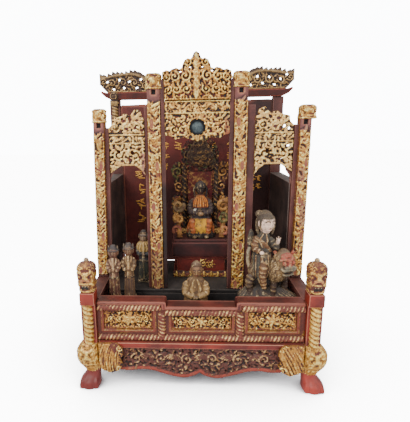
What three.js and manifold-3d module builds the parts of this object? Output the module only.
// Carved and gilded wooden altar shrine with its figures.
// Millimetres. X runs to the right, Y to the back, Z up. The front face of the frieze is y = 0 and the ground z = 0
// while the pieces are made, and the finished group is moved so that the origin is under the middle of its box.
import * as THREE from "three";
import { mergeVertices } from "three/addons/utils/BufferGeometryUtils.js";
import Module from "manifold-3d";

const wasm = await Module();
wasm.setup();

// Driving dimensions
const gap = 0.3; // clearance between pieces that touch
const frontmost = -21.6; // lion muzzles on the knees of the front posts
const rearmost = 366; // back of the roof rail

const base = {
  halfWidth: 200.2, bottom: 96, top: 172, middleTop: 162, notchLeft: -68, notchRight: 74,
  depth: 20, railDepth: 31, railThick: 5.6, sideTop: 178, sideInner: 198, sideOuter: 226, backY: 332.7,
};
const cornerPost = {
  x: 214.5, halfWidth: 14, front: -7, back: 20, columnBottom: 92, capBottom: 174.4, capTop: 199.6,
  twistRadius: 10, twistStrand: 25,
};
const frieze = { front: 4, ropeRadius: 6.2, strand: 40, uprights: [-73, 77], uprightRadius: 7.5, openingBottom: 119 };
const openings = [
  { name: "left", x0: -187, x1: -90, top: 160 },
  { name: "centre", x0: -54, x1: 62, top: 150 },
  { name: "right", x0: 92, x1: 185, top: 160 },
];
const apron = { top: 84.2, front: 1, thick: 9, halfWidth: 197.6 };
const waist = { bottom: 84.5, top: 95.7, front: -6, back: 18, halfWidth: 197.6 };
const backRail = { half: 200, front: 341, back: 353, bottom: 96, top: 126 };
const floorHalf = 202.7; // floor boards reach the side boards
const well = { floorTop: 120, thick: 8 };
const stage = { front: 122, back: 316, top: 151, thick: 8, riserBottom: 100.3 };
const postFront = 126;
const postDepth = 25;
const outerPost = {
  x: [-212.8, 213.8], halfWidth: 11.3, bottom: 178.4, top: 545, lean: [0.024, 0.006], headShift: [0, 4],
  relief: [190, 492], headBottom: 516, holeZ: 510.6,
};
const innerPost = {
  x: [-89.5, 86.5], halfWidth: 13.5, bottom: 151.4, top: 612, relief: [160, 552], headBottom: 580, holeZ: 575,
};
const bay = {
  top: 506, bottom: 178.4, outerStile: 8.5, inner: [-103.4, 100.6], innerStile: [6.6, 15.4], innerTop: 546,
  ties: [448, 476], corner: [[193.5, 384], [192, 398], [190.5, 403], [184.4, 412], [180, 425], [178, 450]], panelX: [[-184, -110.4], [116.4, 192.6]], panelBottom: 417, bandTop: 492, bandBottom: 472,
};
const centre = { left: -75.4, right: 72.4, stile: 8, top: 597, bandTop: 557, bandBottom: 530, valanceBottom: 489 };
const pediment = { bottom: 557.3, shoulder: 616, peak: 651, peakX: -3, front: 122, thick: 13 };
const medallion = { x: -1.3, z: 503.8, radius: 15.5, thick: 3 };
const rear = { front: 345, depth: 20, postInner: 195.5, postOuter: 222, top: 576.4, railTop: 594, railHalf: 226 };
const fretwork = { bottom: 594.4, top: 652, tip: 249, y: 350, thick: 10 };
const sideWall = { inner: 195.2, thick: 26.8, front: 152, top: 385 };
const backBoard = { half: 194.8, bottom: 141, leftTop: 563, rightTop: 571, thick: 8 };

const colours = {
  gilding: 0xb99358, redLacquer: 0x8e3e2c, dullRed: 0x7d4a41, darkBoard: 0x3a3232,
  metal: 0x6f7a74, paleRobe: 0xc2a877, browned: 0x6d5140, greenGilt: 0x6f6a44, stone: 0x57524b,
};

// A geometry as a closed solid, and back again
function solidOf(geometry) {
  const bare = geometry.index ? geometry.toNonIndexed() : geometry.clone();
  bare.deleteAttribute("normal");
  bare.deleteAttribute("uv");
  const merged = mergeVertices(bare, 1e-4);
  return new wasm.Manifold(
    new wasm.Mesh({
      numProp: 3,
      vertProperties: merged.attributes.position.array,
      triVerts: new Uint32Array(merged.index.array),
    }),
  );
}

function geometryOf(solid) {
  const mesh = solid.getMesh();
  const geometry = new THREE.BufferGeometry();
  geometry.setAttribute("position", new THREE.BufferAttribute(new Float32Array(mesh.vertProperties), 3));
  geometry.setIndex(new THREE.BufferAttribute(new Uint32Array(mesh.triVerts), 1));
  return geometry;
}

function join(...geometries) {
  return geometryOf(geometries.map(solidOf).reduce((whole, next) => whole.add(next)));
}

function cut(geometry, ...tools) {
  return geometryOf(tools.map(solidOf).reduce((whole, tool) => whole.subtract(tool), solidOf(geometry)));
}

// Basic forms
function block(x0, x1, y0, y1, z0, z1) {
  const box = new THREE.BoxGeometry(x1 - x0, y1 - y0, z1 - z0);
  return box.translate((x0 + x1) / 2, (y0 + y1) / 2, (z0 + z1) / 2);
}

// A flat shape drawn in x and z, as thick as given, with its front face at y = front
function plate(shape, front, thick, curveSegments = 6) {
  const solid = new THREE.ExtrudeGeometry(shape, { depth: thick, bevelEnabled: false, curveSegments });
  return solid.rotateX(Math.PI / 2).translate(0, front + thick, 0);
}

function outline(points) {
  return new THREE.Shape(points.map(([x, z]) => new THREE.Vector2(x, z)));
}

// A closed skin over a row of rings, each with the same number of points, and a flat cap on each end
function loft(rings) {
  const sides = rings[0].length;
  const positions = [];
  const index = [];
  rings.forEach((ring) => ring.forEach((p) => positions.push(p.x, p.y, p.z)));
  for (let r = 0; r < rings.length - 1; r++) {
    for (let s = 0; s < sides; s++) {
      const a = r * sides + s;
      const b = r * sides + ((s + 1) % sides);
      index.push(a, b, a + sides, b, b + sides, a + sides);
    }
  }
  const last = (rings.length - 1) * sides;
  for (let s = 1; s < sides - 1; s++) index.push(0, s + 1, s, last, last + s, last + s + 1);
  const geometry = new THREE.BufferGeometry();
  geometry.setAttribute("position", new THREE.Float32BufferAttribute(positions, 3));
  geometry.setIndex(index);
  return geometry;
}

// A level ring: an ellipse for square = 2, nearer to a rectangle as square grows
function ring(x, y, z, halfX, halfY, sides = 8, square = 2) {
  return Array.from({ length: sides }, (_, i) => {
    const angle = (2 * Math.PI * (i + 0.5)) / sides;
    const c = Math.cos(angle);
    const s = Math.sin(angle);
    const cx = Math.sign(c) * Math.abs(c) ** (2 / square);
    const cy = Math.sign(s) * Math.abs(s) ** (2 / square);
    return new THREE.Vector3(x + halfX * cx, y + halfY * cy, z);
  });
}

// A body turned or carved about an upright line, from rows of [z, x, y, half width, half depth]
function upright(rows, sides = 8, square = 2) {
  return loft(rows.map(([z, x, y, halfX, halfY]) => ring(x, y, z, halfX, halfY, sides, square)));
}

// A round limb through rows of [x, y, z, radius]
function limb(rows, sides = 6) {
  const points = rows.map(([x, y, z]) => new THREE.Vector3(x, y, z));
  const rings = rows.map(([, , , radius], i) => {
    const along = points[Math.min(i + 1, rows.length - 1)].clone().sub(points[Math.max(i - 1, 0)]).normalize();
    const across = new THREE.Vector3(0, 1, 0).cross(along);
    if (across.length() < 0.2) across.set(1, 0, 0);
    across.normalize();
    const third = along.clone().cross(across);
    return Array.from({ length: sides }, (_, s) => {
      const angle = (2 * Math.PI * s) / sides;
      return points[i].clone()
        .addScaledVector(across, radius * Math.cos(angle))
        .addScaledVector(third, radius * Math.sin(angle));
    });
  });
  return loft(rings);
}

// A carved rope: a four-cornered bar turned on its own axis, one strand showing for each quarter turn
function rope(from, to, radius, strand) {
  const start = new THREE.Vector3(...from);
  const along = new THREE.Vector3(...to).sub(start);
  const length = along.length();
  const steps = Math.max(2, 2 * Math.round(length / strand));
  along.normalize();
  const across = Math.abs(along.z) > 0.5 ? new THREE.Vector3(1, 0, 0) : new THREE.Vector3(0, 0, 1);
  const third = along.clone().cross(across);
  const rings = Array.from({ length: steps + 1 }, (_, i) => {
    const centrePoint = start.clone().addScaledVector(along, (length * i) / steps);
    return [0, 1, 2, 3].map((corner) => {
      const angle = (Math.PI / 2) * corner + (Math.PI / 4) * i;
      return centrePoint.clone()
        .addScaledVector(across, radius * Math.cos(angle))
        .addScaledVector(third, radius * Math.sin(angle));
    });
  });
  return loft(rings);
}

// A raised leaf or scroll on a front face: a pointed mound with four or more sides, proud of y = front
function boss(x, z, halfX, halfZ, front, proud, turn = 0, sides = 4) {
  const corners = (scale, y) => Array.from({ length: sides }, (_, i) => {
    const angle = (2 * Math.PI * i) / sides;
    const u = scale * halfX * Math.cos(angle);
    const v = scale * halfZ * Math.sin(angle);
    const du = u * Math.cos(turn) - v * Math.sin(turn);
    const dv = u * Math.sin(turn) + v * Math.cos(turn);
    return new THREE.Vector3(x + du, y, z + dv);
  });
  return loft([corners(1, front + 1.2), corners(0.45, front - proud)]);
}

// A comma-shaped hole with its tail turned by an angle
function comma(x, z, size, turn) {
  return outline(Array.from({ length: 4 }, (_, i) => {
    const angle = (2 * Math.PI * i) / 4;
    const reach = size * (i === 0 ? 1.35 : 0.8);
    return [x + reach * Math.cos(angle + turn), z + 0.8 * reach * Math.sin(angle + turn)];
  }));
}

// Rows of comma holes over a panel, staggered and turned about, wherever inside(x, z) allows them
function commas(x0, x1, z0, z1, columns, rows, size, inside = () => true) {
  const places = Array.from({ length: columns * rows }, (_, i) => {
    const row = Math.floor(i / columns);
    const column = i % columns;
    const x = x0 + ((x1 - x0) * (column + (row % 2 ? 0.75 : 0.25))) / columns;
    return [x, z0 + ((z1 - z0) * (row + 0.5)) / rows, 1.9 * column + 2.3 * row];
  });
  return places.filter(([x, z]) => inside(x, z)).map(([x, z, turn]) => comma(x, z, size, turn));
}

// A flat shape cut through by holes
function openwork(shape, holes, front, thick) {
  return cut(plate(shape, front, thick), ...holes.map((hole) => plate(hole, front - 1, thick + 2)));
}

// Turns upright lines to lean: x grows by lean for each millimetre above z = from
function leaning(geometry, lean, from) {
  const shear = new THREE.Matrix4().set(1, 0, lean, -lean * from, 0, 1, 0, 0, 0, 0, 1, 0, 0, 0, 0, 1);
  return geometry.applyMatrix4(shear);
}

const shrine = new THREE.Group();

function add(name, geometry, colour, metalness = 0) {
  const material = new THREE.MeshStandardMaterial({ color: colour, roughness: 0.7, metalness });
  const mesh = new THREE.Mesh(geometry, material);
  mesh.name = name;
  shrine.add(mesh);
  return mesh;
}

// Front corner post: paw foot, lion-mask knee, rope column, cap and lion finial in one timber
function cornerPostTimber(side) {
  const x = cornerPost.x * side;
  const leg = upright([
    [0, x + 5 * side, 2, 21, 20], [14, x + 4 * side, 3, 20.5, 19.5], [30, x - 2 * side, 8, 14.5, 13],
    [46, x + 1 * side, 5, 18, 16.5], [56, x + 5 * side, 0, 22.5, 20], [80, x + 6 * side, -1, 22.5, 20],
    [94, x + 1 * side, 5, 14, 14],
  ], 8, 3);
  const toes = [-13, 0, 13].map((t) => boss(x + 5 * side + t, 8, 6, 7.4, -15.5, 5));
  const maskX = x + 6 * side;
  const mask = [
    boss(maskX, 60, 12, 8, -18, 3.5), boss(maskX - 9, 75, 6, 4.4, -18, 3), boss(maskX + 9, 75, 6, 4.4, -18, 3),
    boss(maskX, 88, 18, 6, -14, 4),
  ];
  const { halfWidth, front, back, columnBottom, capBottom, capTop, twistRadius, twistStrand } = cornerPost;
  const column = block(x - halfWidth, x + halfWidth, front, back, columnBottom, capBottom + 1);
  const twist = rope([x, front + 1, columnBottom + 6], [x, front + 1, capBottom + 0.6], twistRadius, twistStrand);
  const cap = block(x - halfWidth - 0.2, x + halfWidth + 0.2, front - 3, back + 1, capBottom, capTop);
  const lion = upright([
    [198, x, 6, 14, 13], [212, x, 4, 16, 15], [226, x, 4, 16.5, 15], [244, x, 4, 18.5, 16],
    [256, x, 5, 15.5, 13], [261, x, 6, 6, 5.5], [267, x, 6, 3.4, 3.4],
  ], 8, 2.6);
  const mouth = block(x - 3, x + 4, -20, -5, 205, 212);
  const face = [
    boss(x, 225, 9, 7, -9.5, 5), boss(x - 8, 238, 6, 4, -10, 3), boss(x + 8, 238, 6, 4, -10, 3),
    boss(x, 249, 16, 5, -9.5, 3.5),
  ];
  return join(leg, ...toes, ...mask, column, twist, cap, cut(lion, mouth), ...face);
}

function backLeg(side) {
  const x = cornerPost.x * side;
  const foot = upright([
    [0, x, 349, 17, 15], [14, x, 348, 16, 14], [30, x, 347.5, 12.5, 12.5], [44, x, 347, 14, 14],
  ], 8, 6);
  return join(foot, block(x - 13.5, x + 13.5, base.backY + gap, 361, 40, base.sideTop));
}

// The stepped board along the top of the frieze
function frontRail() {
  const low = base.middleTop + gap;
  const high = base.top + gap;
  const shape = outline([
    [-197.6, high], [base.notchLeft - 5, high], [base.notchLeft - 5, low + 1], [base.notchLeft - 4, low],
    [base.notchRight + 4, low], [base.notchRight + 5, low + 1], [base.notchRight + 5, high], [197.6, high],
    [197.6, high + base.railThick], [base.notchRight, high + base.railThick], [base.notchRight - 3, high + 4],
    [base.notchRight - 4, low + base.railThick], [base.notchLeft + 4, low + base.railThick],
    [base.notchLeft + 3, high + 4], [base.notchLeft, high + base.railThick], [-197.6, high + base.railThick],
  ]);
  return plate(shape, 0.5, base.railDepth);
}

// The frieze's frame: rails and stiles round three openings, edged with rope mouldings
function friezeFrame() {
  const w = base.halfWidth;
  const board = (x0, x1, z0, z1) => block(x0, x1, frieze.front, base.depth, z0, z1);
  const [left, middle, right] = openings;
  const low = frieze.openingBottom;
  const timbers = [
    board(-w, w, base.bottom, low), board(-w, left.x0, low - 1, base.top), board(right.x1, w, low - 1, base.top),
    board(left.x1, middle.x0, low - 1, base.middleTop), board(middle.x1, right.x0, low - 1, base.middleTop),
    board(-w, base.notchLeft - 5.3, left.top, base.top), board(base.notchRight + 5.3, w, right.top, base.top),
    board(left.x1, right.x0, middle.top, base.middleTop),
  ];
  const r = frieze.ropeRadius;
  const level = (x0, x1, z) => rope([x0, frieze.front, z], [x1, frieze.front, z], r, frieze.strand);
  const plumb = (x) => {
    const low = [x, frieze.front, base.bottom + 8];
    return rope(low, [x, frieze.front, base.middleTop - 2], frieze.uprightRadius, frieze.strand);
  };
  const ropes = [
    level(-w + 1, w - 1, base.bottom + r + 1), level(-w + 1, base.notchLeft - 6, base.top - r),
    level(base.notchRight + 6, w - 1, base.top - r), level(base.notchLeft, base.notchRight, base.middleTop - r),
    ...frieze.uprights.map((x) => plumb(x)),
  ];
  return join(...timbers, ...ropes);
}

// An openwork panel of scrolling leaves set in one opening, with a flower head in its middle
function friezePanel({ x0, x1, top }) {
  const z0 = frieze.openingBottom + gap;
  const left = x0 + gap;
  const right = x1 - gap;
  const z1 = top - gap;
  const shape = outline([[left, z0], [right, z0], [right, z1], [left, z1]]);
  const middle = (left + right) / 2;
  const flower = (x) => Math.abs(x - middle) > 13;
  const holes = commas(left + 3, right - 3, z0 + 2, z1 - 2, 5, 2, 5.4, flower);
  const leaves = [-2, -1, 1, 2].map((i) =>
    boss(middle + 19 * i, (z0 + z1) / 2 + (i % 2 ? 2.5 : -2.5), 8, 4.4, 8, 3.2, 0.6 * i));
  return join(openwork(shape, holes, 8, 8), boss(middle, (z0 + z1) / 2, 11, 10, 8, 4.5, 0, 6), ...leaves);
}

// The apron: its lower edge falls in lobes on each side of a middle notch
function apronEdge() {
  const half = [
    [0, 29.5], [11, 22], [30, 17], [50, 19.5], [72, 26], [94, 32.5], [118, 34], [142, 31], [166, 34],
    [apron.halfWidth, 45],
  ];
  const right = new THREE.SplineCurve(half.map(([x, z]) => new THREE.Vector2(x, z))).getPoints(13);
  return [...right.slice(1).reverse().map((p) => [-p.x, p.y]), ...right.map((p) => [p.x, p.y])];
}

function frontApron() {
  const lower = apronEdge();
  const shape = outline([...lower, [apron.halfWidth, apron.top], [-apron.halfWidth, apron.top]]);
  const holes = commas(-144, 144, 32, 79, 8, 2, 8.5, (x, z) => z > 50 || Math.abs(x) < 84);
  const leaves = Array.from({ length: 5 }, (_, i) => boss(-104 + 52 * i, 57, 10, 6, apron.front, 3.4, 0.7 * (i - 2)));
  return join(openwork(shape, holes, apron.front, apron.thick), ...leaves);
}

// The carved wing beside each knee, a fan of curved feathers
function wingBracket(side) {
  const edge = [
    [197, 97], [160, 97], [151, 88], [149, 74], [156, 60], [150, 50], [158, 40], [172, 33], [188, 38], [197, 45],
  ];
  const shape = outline((side > 0 ? [...edge].reverse() : edge).map(([x, z]) => [x * side, z]));
  const feathers = [0, 1, 2].map((i) =>
    boss(side * (179 - 6 * i), 55 + 13 * i, 15 - i, 5, -12, 3, side * (0.7 - 0.28 * i)));
  return join(plate(shape, -12, 5.6), ...feathers);
}

// Side of the base: a board with a wide top rail and a lower rail
function baseSide(side) {
  const y0 = cornerPost.back + 1 + gap;
  const inner = base.sideInner * side;
  const outer = base.sideOuter * side;
  const span = (a, b, z0, z1) => block(Math.min(a, b), Math.max(a, b), y0, base.backY, z0, z1);
  return join(
    span(inner + 5 * side, outer - 8 * side, 98, 172), span(inner, outer, 168, base.sideTop),
    span(inner + 2 * side, outer - 3 * side, 84, 100),
  );
}

// Post with carved leaves down its front, a gilt head and a square hole below the head
function carvedPost({ halfWidth: half, bottom, top, relief, headBottom, holeZ }, x, headShift = 0) {
  const timber = block(x - half, x + half, postFront, postFront + postDepth, bottom, headBottom + 4);
  const headX = x + headShift;
  const headHalf = half + 1 + headShift / 2;
  const head = upright([
    [headBottom, headX, postFront + 11, headHalf, 13.2], [top - 10, headX, postFront + 11, headHalf, 13.2],
    [top, headX, postFront + 12, half - 5, 8],
  ], 8, 5);
  const hole = block(x - 4.5, x + 4.5, postFront - 4, postFront + 6, holeZ - 5, holeZ + 5);
  const leafPitch = 48;
  const count = Math.floor((relief[1] - relief[0]) / leafPitch);
  const leaves = Array.from({ length: count }, (_, i) => {
    const z = relief[0] + leafPitch * (i + 0.5);
    return boss(x + (i % 2 ? 1.5 : -1.5), z, half - 2, leafPitch * 0.47, postFront, 4, i % 2 ? 0.2 : -0.2);
  });
  const crest = boss(headX, (headBottom + top) / 2, half - 3, (top - headBottom) * 0.36, postFront - 2, 3.4);
  return cut(join(timber, head, crest, ...leaves), hole);
}

// Frame of one side bay: the outer stile leans with its post, the inner one stands plumb, and two ties join them
function bayFrame(side) {
  const i = side < 0 ? 0 : 1;
  const postInner = outerPost.x[i] - side * (outerPost.halfWidth + gap);
  const front = postFront + 6;
  const tieFront = postFront + 13;
  const back = postFront + 18;
  const span = (a, b, y0, z0, z1) => block(Math.min(a, b), Math.max(a, b), y0, back, z0, z1);
  const outer = span(postInner, postInner - side * bay.outerStile, front, bay.bottom, bay.top);
  const inner = span(bay.inner[i], bay.inner[i] + side * bay.innerStile[i], front, stage.top + 0.4, bay.innerTop);
  const tieEnd = postInner + outerPost.lean[i] * (bay.ties[0] - bay.bottom) - side * 2;
  const ties = bay.ties.map((z) => span(tieEnd, bay.inner[i] + side * 2, tieFront, z, z + 14));
  // curved bracket that fills the corner between the outer stile and the lower tie
  const stileAt = (z) => postInner + outerPost.lean[i] * (z - outerPost.bottom) - side;
  const hollow = bay.corner.map(([x, z]) => [side * x, z]);
  const rim = bay.corner.map(([, z]) => [stileAt(z), z]).reverse();
  const corner = plate(outline([...hollow, ...rim]), tieFront, back - tieFront);
  return join(leaning(outer, outerPost.lean[i], outerPost.bottom), inner, ...ties, corner);
}

// Openwork panel at the head of a side bay: stepped top, a banded middle and an arched lower edge
function sideValance(side) {
  const [x0, x1] = bay.panelX[side < 0 ? 0 : 1];
  const out = side < 0 ? x0 : x1;
  const inn = side < 0 ? x1 : x0;
  const at = (t) => out + (inn - out) * t;
  const top = [
    [at(0), 505], [at(0.1), 513], [at(0.12), 524], [at(0.36), 528], [at(0.46), 534], [at(0.62), 529], [at(0.76), 542],
    [at(0.9), 538], [at(1), 520],
  ];
  const lower = [
    [at(1), bay.panelBottom - 12], [at(0.9), bay.panelBottom], [at(0.72), bay.panelBottom + 10],
    [at(0.3), bay.panelBottom + 10], [at(0.1), bay.panelBottom], [at(0), bay.panelBottom - 6],
  ];
  const points = [...top, ...lower];
  const shape = outline(side < 0 ? points.reverse() : points);
  const low = Math.min(at(0.04), at(0.96));
  const high = Math.max(at(0.04), at(0.96));
  const holes = [
    ...commas(low, high, bay.bandTop + 3, 524, 3, 2, 6, (x, z) => z < 510 || Math.abs(x - at(0.5)) < 24),
    ...commas(low, high, bay.panelBottom + 14, bay.bandBottom - 3, 3, 2, 6.6),
  ];
  const bars = [bay.bandTop - 3, bay.bandBottom].map((z) =>
    block(Math.min(x0, x1), Math.max(x0, x1), postFront, postFront + 4, z, z + 3));
  const leaves = [0.25, 0.75].flatMap((t, i) => [
    boss(at(t), 482, 13, 5, postFront + 3, 3), boss(at(t), 446, 9, 5, postFront + 3, 3.6, 0.8 * (i - 0.5)),
  ]);
  return join(openwork(shape, holes, postFront + 3, 8.6), ...bars, ...leaves);
}

// Red frame between the inner posts: two stiles and a head tie behind the gilt panels
function centreFrame() {
  const { left, right, stile, top } = centre;
  return join(
    block(left, left + stile, postFront + 2, postFront + 16, stage.top + 0.4, top),
    block(right - stile, right, postFront + 2, postFront + 16, stage.top + 0.4, top),
    block(left + 2, right - 2, postFront + 13, postFront + 16, 534, 553),
  );
}

// Band of carving between two gilt bars, over an openwork valance with a drop in its middle
function centreValance() {
  const x0 = centre.left + centre.stile + gap;
  const x1 = centre.right - centre.stile - gap;
  const middle = medallion.x;
  const shape = outline([
    [x0, centre.bandTop], [x0, centre.valanceBottom], [-56, 487], [-46, 480], [-30, 484], [-14, 480], [middle, 475],
    [12, 481], [30, 484], [44, 481], [54, 488], [x1, centre.valanceBottom + 1], [x1, centre.bandTop],
  ]);
  const clear = (x, z) => Math.hypot(x - middle, z - medallion.z) > medallion.radius + 7;
  const holes = commas(x0 + 2, x1 - 2, 488, 527, 6, 2, 6, clear);
  const bar = (z) => block(x0, x1, postFront - 3, postFront + 2, z, z + 4);
  const bars = [bar(centre.bandTop - 4), bar(centre.bandBottom)];
  const leaves = [-1, 0, 1].map((i) => boss(middle + 38 * i, 543, 16, 5.6, postFront, 3.4));
  const spray = [-1, 1].map((s) => boss(middle + s * 42, 506, 9, 5, postFront, 3.6, s * 0.8));
  return join(openwork(shape, holes, postFront, 10), ...bars, ...leaves, ...spray);
}

function medallionDisc() {
  const r = medallion.radius;
  const { thick } = medallion;
  const profile = [[0, 0], [r, 0], [r, thick], [r - 2, thick], [r - 3, thick - 0.8], [0, thick - 0.8]];
  const disc = new THREE.LatheGeometry(profile.map(([x, y]) => new THREE.Vector2(x, y)), 16);
  return disc.rotateX(Math.PI).translate(medallion.x, postFront - gap, medallion.z);
}

// Pediment: leafy crown rising in scrolls to a bud at the peak
function pedimentCrown() {
  const { bottom, shoulder, peak, peakX, front, thick } = pediment;
  const rise = peak - shoulder;
  const half = [
    [4, 1], [9, 0.72], [13, 0.76], [22, 0.5], [28, 0.2], [30, 0.0], [40, 0.06], [52, -0.06], [60, -0.02], [68, -0.1],
  ];
  const x0 = centre.left + centre.stile + gap;
  const x1 = centre.right - centre.stile - gap;
  const shape = outline([
    [x0, bottom], [x1, bottom], [x1, centre.top + gap], [69, centre.top + gap],
    ...half.slice().reverse().map(([x, t]) => [peakX + x, shoulder + rise * t]),
    ...half.map(([x, t]) => [peakX - x, shoulder + rise * t]),
    [-71.5, centre.top + gap], [x0, centre.top + gap],
  ]);
  const holes = commas(x0 + 4, x1 - 4, bottom + 6, bottom + 18, 8, 1, 4.6, (x) => Math.abs(x - peakX) > 11);
  const leaves = [1, 2, 3].flatMap((i) => [-1, 1].map((s) =>
    boss(peakX + s * (8 + 17 * i), 612 - 8 * i, 11, 7, front, 4.6, s * (0.9 - 0.15 * i))));
  const spine = [[574, 12, 13], [602, 13, 14], [628, 9, 12]].map(([z, w, h]) =>
    boss(peakX, z, w, h, front, 6));
  return join(openwork(shape, holes, front, thick), ...leaves, ...spine);
}

function rearPost(side) {
  const { front, depth, postInner, postOuter, top } = rear;
  const x0 = Math.min(side * postInner, side * postOuter);
  const x1 = Math.max(side * postInner, side * postOuter);
  const timber = block(x0, x1, front, front + depth, base.sideTop + 0.4, top);
  if (side > 0) return timber;
  const middle = (x0 + x1) / 2;
  return join(timber, rope([middle, front, 480], [middle, front, 566], 9, 18));
}

// Roof rail with upturned pointed ends
function corniceRail() {
  const { top, railTop, railHalf } = rear;
  const tip = railHalf + 18;
  const half = [
    [railHalf - 8, top + gap], [railHalf + 6, top + 7], [tip, railTop + 1], [tip - 4, railTop + 4],
    [railHalf + 2, railTop],
  ];
  const shape = outline([...half, ...half.map(([x, z]) => [-x, z]).reverse()]);
  return plate(shape, rear.front - 6, rearmost - rear.front + 6);
}

// Pierced roof crest: a running saw-tooth edge, low behind the pediment and turned up at the ends
function roofFretwork() {
  const { bottom, top, tip, y, thick } = fretwork;
  const half = [
    [tip - 22, bottom], [tip - 14, bottom + 8], [tip - 1, bottom + 22], [tip - 2, bottom + 36], [tip, top - 8],
    [tip - 7, top - 7], [tip - 14, top - 12], [tip - 22, top - 6], [tip - 26, top - 10], [tip - 34, top - 3],
    [tip - 40, top - 7], [tip - 53, top - 1], [tip - 57, top - 5], [tip - 72, top - 3], [tip - 76, top],
    [tip - 96, top - 2], [tip - 110, top - 9], [tip - 119, top - 17],
    [tip - 135, top - 26], [40, top - 24],
  ];
  const shape = outline([...half, ...half.map(([x, z]) => [-x, z]).reverse()]);
  const holes = [-1, 1].flatMap((s) => {
    const a = s < 0 ? -(tip - 14) : 112;
    const solid = (x, z) => Math.abs(x) < tip - 26 || z > bottom + 18;
    return commas(a, a + tip - 126, bottom + 5, top - 12, 4, 2, 8, solid);
  });
  const scales = [-1, 1].flatMap((s) => Array.from({ length: 3 }, (_, i) =>
    boss(s * (tip - 26 - 38 * i), top - 14, 17, 4.6, y, 3.6, s * 0.2 * (i % 2 ? 1 : -1))));
  return join(openwork(shape, holes, y, thick), ...scales);
}

function sideWallBoard(side) {
  const { inner, thick, front, top } = sideWall;
  const x0 = Math.min(side * inner, side * (inner + thick));
  return block(x0, x0 + thick, front, rear.front - gap, base.sideTop + 0.4, top);
}

function backBoardPlank() {
  const { half, bottom, leftTop, rightTop, thick } = backBoard;
  return plate(outline([[-half, bottom], [half, bottom], [half, rightTop], [-half, leftTop]]), rear.front + 4, thick);
}

// Throne on its plinth
const seat = { x: 9, top: 244 };

function thronePlinth() {
  const { x } = seat;
  return join(
    block(x - 66, x + 66, 196, 296, stage.top + 0.4, 160), block(x - 57, x + 57, 203, 292, 159, 196),
    block(x - 62, x + 62, 200, 294, 195, 203), block(x - 68, x + 68, 195, 296, 202, 237),
    block(x - 64, x + 64, 198, 294, 236, seat.top - gap),
    ...[-45, -15, 15, 45].map((dx) => boss(x + dx, 156, 12, 4, 196, 2.5)),
  );
}

function throneChair() {
  const { x, top } = seat;
  const half = [
    [46, 244], [58, 246], [66, 268], [62, 284], [72, 300], [70, 330], [58, 345], [66, 380], [72, 405], [58, 424],
    [44, 418], [46, 448], [34, 470], [16, 480],
  ];
  const shape = outline([...half.map(([dx, z]) => [x + dx, z]), ...half.map(([dx, z]) => [x - dx, z]).reverse()]);
  const rim = (z) => (z > 340 ? 56 : 62);
  const open = (px, z) => Math.abs(px - x) > 28 && Math.abs(px - x) < rim(z);
  const holes = commas(x - 66, x + 66, 262, 420, 4, 5, 9, open);
  const back = openwork(shape, holes, 264, 9);
  const arms = [-1, 1].map((s) => limb([
    [x + s * 56, 268, 330, 6.5], [x + s * 57, 222, 306, 7.5], [x + s * 50, 214, 246, 8],
  ], 5));
  const pillars = [-1, 1].map((s) => limb([
    [x + s * 36, 262, 258, 6.5], [x + s * 40, 258, 330, 7], [x + s * 39, 260, 416, 8],
  ], 5));
  const crest = upright([[410, x, 264, 22, 8], [436, x, 262, 32, 10], [478, x, 266, 12, 6]], 6);
  return join(block(x - 50, x + 50, 248, 268, top, 256), back, ...arms, ...pillars, crest);
}

// Head of a figure: an egg on a neck, with the hair or hat given as rows above it
function head(x, y, z, size, cover) {
  const skull = [
    [z, x, y + size * 0.1, size * 0.34, size * 0.36], [z + size * 0.2, x, y, size * 0.56, size * 0.62],
    [z + size * 0.75, x, y, size * 0.72, size * 0.8],
  ];
  const hat = cover.map(([dz, w, d]) => [z + dz * size, x, y + size * 0.08, w * size, d * size]);
  return upright([...skull, ...hat], 6);
}

// The figures stand or sit on their own bases and are lifted out
function seatedDeity() {
  const { x } = seat;
  const robe = upright([
    [seat.top, x, 226, 34, 17], [272, x, 228, 31, 20], [292, x, 234, 25, 17], [332, x, 236, 20, 14],
    [347, x, 236, 8, 8],
  ], 7, 2.4);
  const knees = [-1, 1].map((s) => limb([
    [x + s * 10, 232, 284, 10], [x + s * 20, 214, 282, 10.5], [x + s * 17, 209, 254, 8],
  ], 5));
  const sleeves = [-1, 1].map((s) => limb([
    [x + s * 18, 236, 334, 8], [x + s * 27, 228, 310, 9.5], [x + s * 3, 212, 303, 7],
  ], 5));
  const hat = [[0.8, 0.8, 0.88], [1.5, 0.7, 0.7], [2.05, 0.4, 0.4]];
  return join(robe, ...knees, ...sleeves, head(x, 236, 346, 16, hat));
}

// A standing attendant in a long robe on a small block
function attendant(x, y, ground, baseHeight, height, width, headSize) {
  const z0 = ground + baseHeight;
  const shoulder = z0 + height - headSize * 1.75;
  const tall = shoulder - z0;
  const stand = block(x - width * 0.62, x + width * 0.62, y - 11, y + 11, ground + 0.4, z0 + 1);
  const robe = upright([
    [z0, x, y, width * 0.5, 9], [z0 + tall * 0.6, x, y, width * 0.42, 8], [z0 + tall * 0.88, x, y, width * 0.5, 8.6],
    [shoulder + 2, x, y, width * 0.3, 6],
  ], 6);
  const sleeves = [-1, 1].map((s) => limb([
    [x + s * width * 0.42, y, shoulder - 5, 4.6], [x + s * width * 0.5, y - 3, shoulder - tall * 0.22, 5.2],
    [x + s * width * 0.16, y - 9, shoulder - tall * 0.3, 4.8],
  ], 4));
  const hat = [[1.1, 0.8, 0.88], [1.45, 0.5, 0.55], [1.85, 0.22, 0.25]];
  return join(stand, robe, ...sleeves, head(x, y, shoulder + 1, headSize, hat));
}

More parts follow.
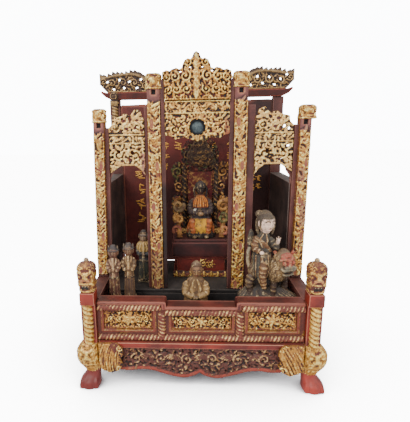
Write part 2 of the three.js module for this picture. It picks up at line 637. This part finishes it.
// A lady riding a lion across a rock
function ladyOnLion() {
  const x = 143;
  const ground = well.floorTop + 0.4;
  const rock = upright([
    [ground, x, 84, 60, 30], [ground + 34, x, 84, 61, 30], [ground + 42, x - 2, 85, 54, 24],
    [ground + 56, x - 7, 86, 34, 16],
  ], 8, 2.8);
  const lionBody = limb([[106, 88, 200, 15], [122, 88, 212, 19], [158, 85, 218, 18], [172, 80, 224, 14]], 6);
  const lionHead = upright([
    [202, 172, 74, 10, 9], [214, 173, 72, 19, 16], [240, 172, 72, 20, 17], [254, 171, 75, 13, 11],
    [262, 171, 78, 6, 5],
  ], 8, 2.4);
  const muzzle = [boss(180, 222, 12, 9, 56, 7, 0, 6), boss(166, 243, 9, 5, 56, 4), boss(182, 243, 8, 5, 58, 4)];
  const legs = [
    limb([[160, 82, 214, 9], [153, 73, 188, 7.5], [151, 67, 160, 8]], 4),
    limb([[176, 90, 210, 9], [180, 90, 160, 8]], 4),
    limb([[112, 84, 202, 12], [103, 77, 186, 9], [103, 71, 160, 8]], 4),
  ];
  const tail = limb([[108, 92, 206, 5], [104, 94, 240, 5], [108, 93, 272, 7], [107, 92, 298, 4]], 4);
  const robe = upright([
    [196, 128, 80, 12, 16], [216, 128, 82, 17, 21], [240, 129, 84, 18, 18], [282, 130, 84, 16, 11],
    [297, 133, 84, 7, 7],
  ], 7);
  const leg = limb([[132, 72, 232, 10], [128, 61, 206, 9.5], [130, 56, 184, 7]], 5);
  const arms = [
    limb([[144, 82, 280, 7], [155, 73, 266, 7], [156, 64, 286, 4]], 4),
    limb([[116, 82, 280, 7], [110, 74, 262, 8], [124, 64, 256, 6]], 4),
  ];
  const cover = [[1.2, 0.86, 0.96], [1.5, 0.66, 0.8], [1.8, 0.34, 0.4]];
  const lion = [lionBody, lionHead, ...muzzle, ...legs, tail];
  return join(rock, ...lion, robe, leg, ...arms, head(135, 82, 294, 25, cover));
}

// The small figure sitting in the front well
function seatedMonk() {
  const x = -6;
  const ground = well.floorTop + 0.4;
  const robe = upright([
    [ground, x, 74, 27, 19], [ground + 30, x, 75, 26.5, 19], [ground + 44, x, 77, 23.5, 16], [ground + 72, x, 78, 19.5, 12],
    [ground + 82, x, 78, 8, 7.5],
  ], 8, 2.3);
  const sleeves = [-1, 1].map((s) => limb([
    [x + s * 18, 76, ground + 70, 6.6], [x + s * 21.5, 69, ground + 52, 7.4], [x + s * 3, 57, ground + 42, 6],
  ], 5));
  const hat = [[1.25, 0.76, 0.84], [1.6, 0.5, 0.56], [1.95, 0.3, 0.3]];
  return join(robe, ...sleeves, head(x + 2, 77, ground + 80, 18, hat));
}

// The whole shrine
[-1, 1].forEach((side, i) => {
  const hand = side < 0 ? "left" : "right";
  add("corner_post_" + hand, cornerPostTimber(side), colours.gilding);
  add("back_leg_" + hand, backLeg(side), colours.redLacquer);
  add("wing_bracket_" + hand, wingBracket(side), colours.gilding);
  add("base_side_" + hand, baseSide(side), colours.dullRed);
  const outer = carvedPost(outerPost, outerPost.x[i], outerPost.headShift[i]);
  add("outer_post_" + hand, leaning(outer, outerPost.lean[i], outerPost.bottom), colours.gilding);
  add("inner_post_" + hand, carvedPost(innerPost, innerPost.x[i]), colours.gilding);
  add("bay_frame_" + hand, bayFrame(side), colours.dullRed);
  add("side_valance_" + hand, sideValance(side), colours.gilding);
  add("side_wall_" + hand, sideWallBoard(side), colours.darkBoard);
  add("rear_post_" + hand, rearPost(side), colours.dullRed);
});
add("front_rail", frontRail(), colours.redLacquer);
add("frieze_frame", friezeFrame(), colours.gilding);
openings.forEach((opening) => add("frieze_panel_" + opening.name, friezePanel(opening), colours.gilding));
const waistBoard = block(-waist.halfWidth, waist.halfWidth, waist.front, waist.back, waist.bottom, waist.top);
add("waist_rail", waistBoard, colours.redLacquer);
add("front_apron", frontApron(), colours.gilding);
const board = (half, y0, y1, z0, z1) => block(-half, half, y0, y1, z0, z1);
const { floorTop } = well;
const wellBoard = board(floorHalf, base.depth + gap, stage.front - gap, floorTop - well.thick, floorTop);
add("well_floor", wellBoard, colours.darkBoard);
const underStage = stage.top - stage.thick;
const riserBoard = board(floorHalf, stage.front, stage.front + stage.thick, stage.riserBottom, underStage - gap);
add("stage_riser", riserBoard, colours.darkBoard);
add("stage_floor", board(floorHalf, stage.front, stage.back, underStage, stage.top), colours.darkBoard);
const backRailBoard = board(backRail.half, backRail.front, backRail.back, backRail.bottom, backRail.top);
add("base_back_rail", backRailBoard, colours.redLacquer);
add("centre_frame", centreFrame(), colours.dullRed);
add("centre_valance", centreValance(), colours.gilding);
add("medallion", medallionDisc(), colours.metal, 0.8);
add("pediment", pedimentCrown(), colours.gilding);
add("back_board", backBoardPlank(), colours.dullRed);
add("cornice_rail", corniceRail(), colours.redLacquer);
add("roof_fretwork", roofFretwork(), colours.browned);
add("throne_plinth", thronePlinth(), colours.redLacquer);
add("throne", throneChair(), colours.greenGilt);
add("seated_deity", seatedDeity(), colours.gilding);
add("attendant_outer", attendant(-177.3, 80, well.floorTop, 34, 112, 22.8, 15), colours.browned);
add("attendant_inner", attendant(-145.4, 82, well.floorTop, 34, 116, 22.8, 15), colours.browned);
add("attendant_rear", attendant(-124, 172, stage.top, 4, 118, 28, 15), colours.browned);
add("lady_on_lion", ladyOnLion(), colours.stone);
add("seated_monk", seatedMonk(), colours.paleRobe);

shrine.position.y = -(frontmost + rearmost) / 2;

export default shrine;
